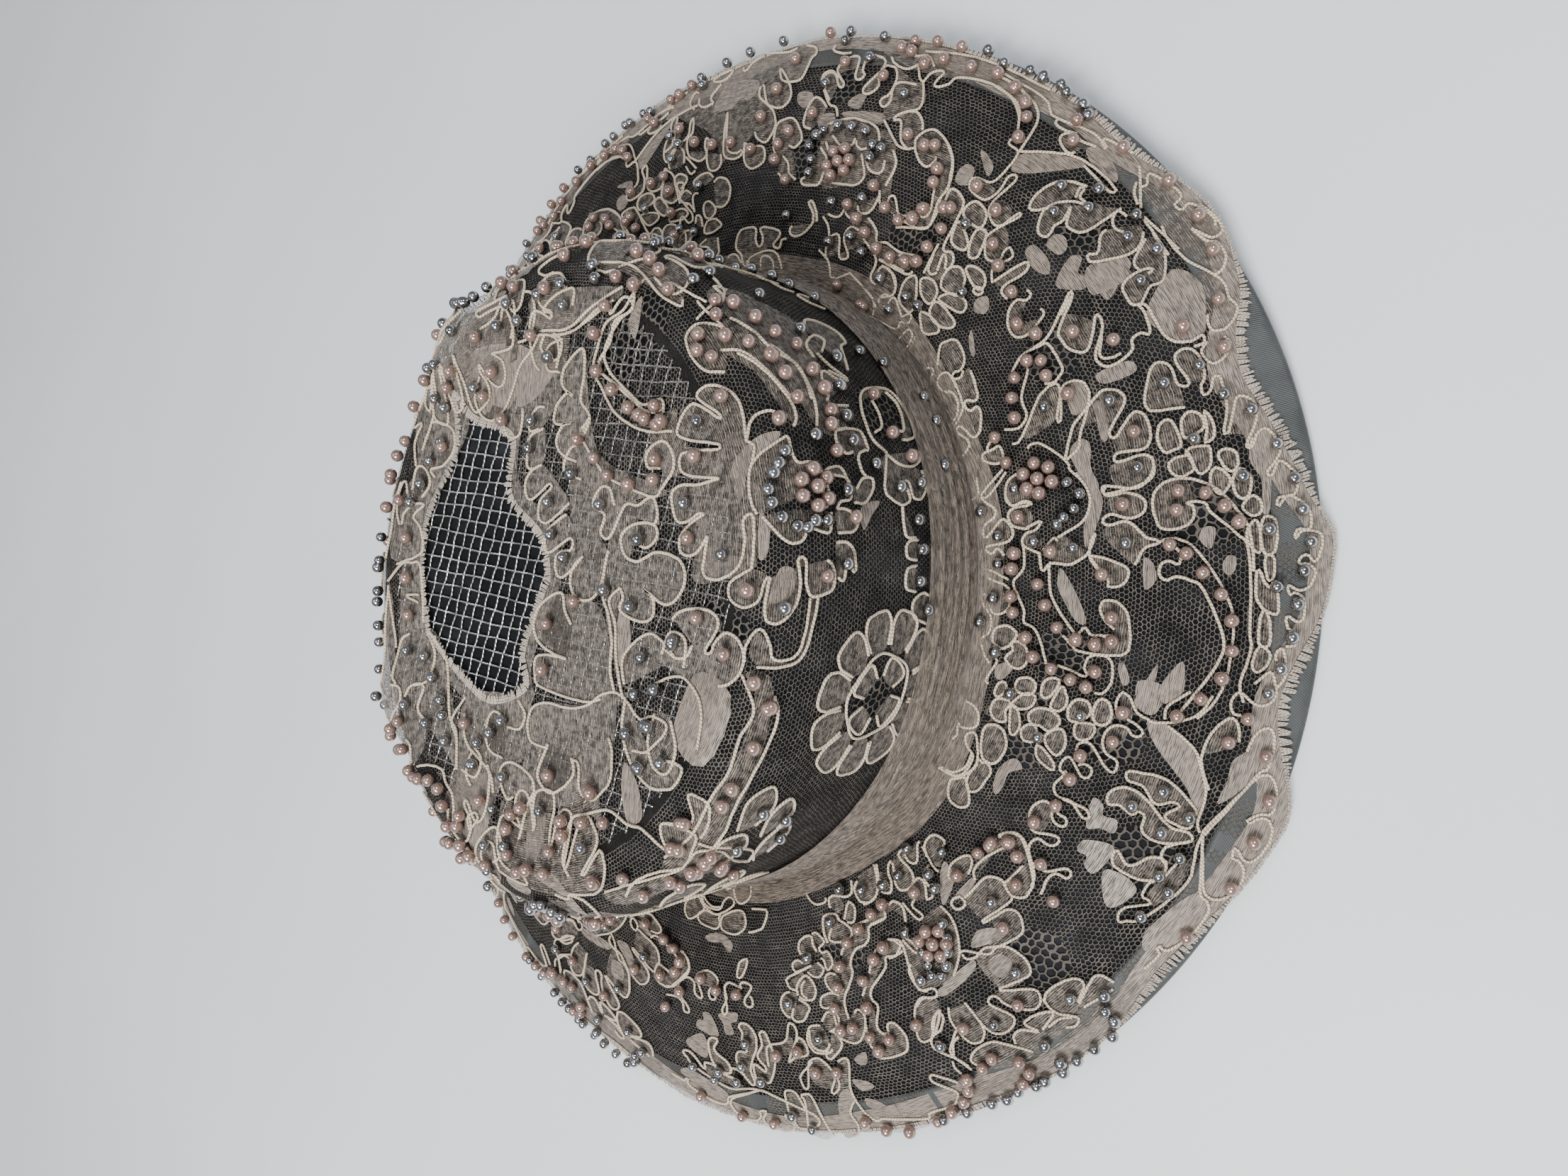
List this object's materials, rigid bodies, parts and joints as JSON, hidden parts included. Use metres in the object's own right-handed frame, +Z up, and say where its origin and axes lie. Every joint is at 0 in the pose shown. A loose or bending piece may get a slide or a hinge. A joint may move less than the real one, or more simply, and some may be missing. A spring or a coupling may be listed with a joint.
{
  "type": "wide brim hat",
  "caption": "Round flat-topped hat with a wide gently arched brim, covered in beaded corded lace over dark cloth, with a gathered band and a silver net on the tip.",
  "frame": {"origin": "centre of the hat's outline at the level of the surface that it rests on", "axes": "+Z up, -Y towards the front of the hat, +X to the right as seen from the front"},
  "size_m": [0.3698, 0.3698, 0.1099],
  "materials": {
    "form_cloth": "dark woven cloth over a stiff form",
    "satin_edge": "grey satin under sheer organza",
    "metal_net": "silver thread net",
    "lace": "taupe tulle and satin stitch, matt to silky",
    "cord": "champagne wrapped cord with a silky wrap",
    "band_tulle": "sheer brown tulle in fine gathers",
    "pearl": "rose champagne pearl lustre",
    "silver_bead": "bright plated bead"
  },
  "bodies": {
    "root": {"crown_shell": "form_cloth", "brim_shell": "form_cloth", "brim_binding": "satin_edge", "tip_net": "metal_net", "crown_lace": "lace", "brim_lace": "lace", "hat_band": "band_tulle", "rose_beads_1": "pearl", "rose_beads_2": "pearl", "rose_beads_3": "pearl", "rose_beads_4": "pearl", "rose_beads_5": "pearl", "rose_beads_6": "pearl", "rose_beads_7": "pearl"}
  },
  "joints": []
}
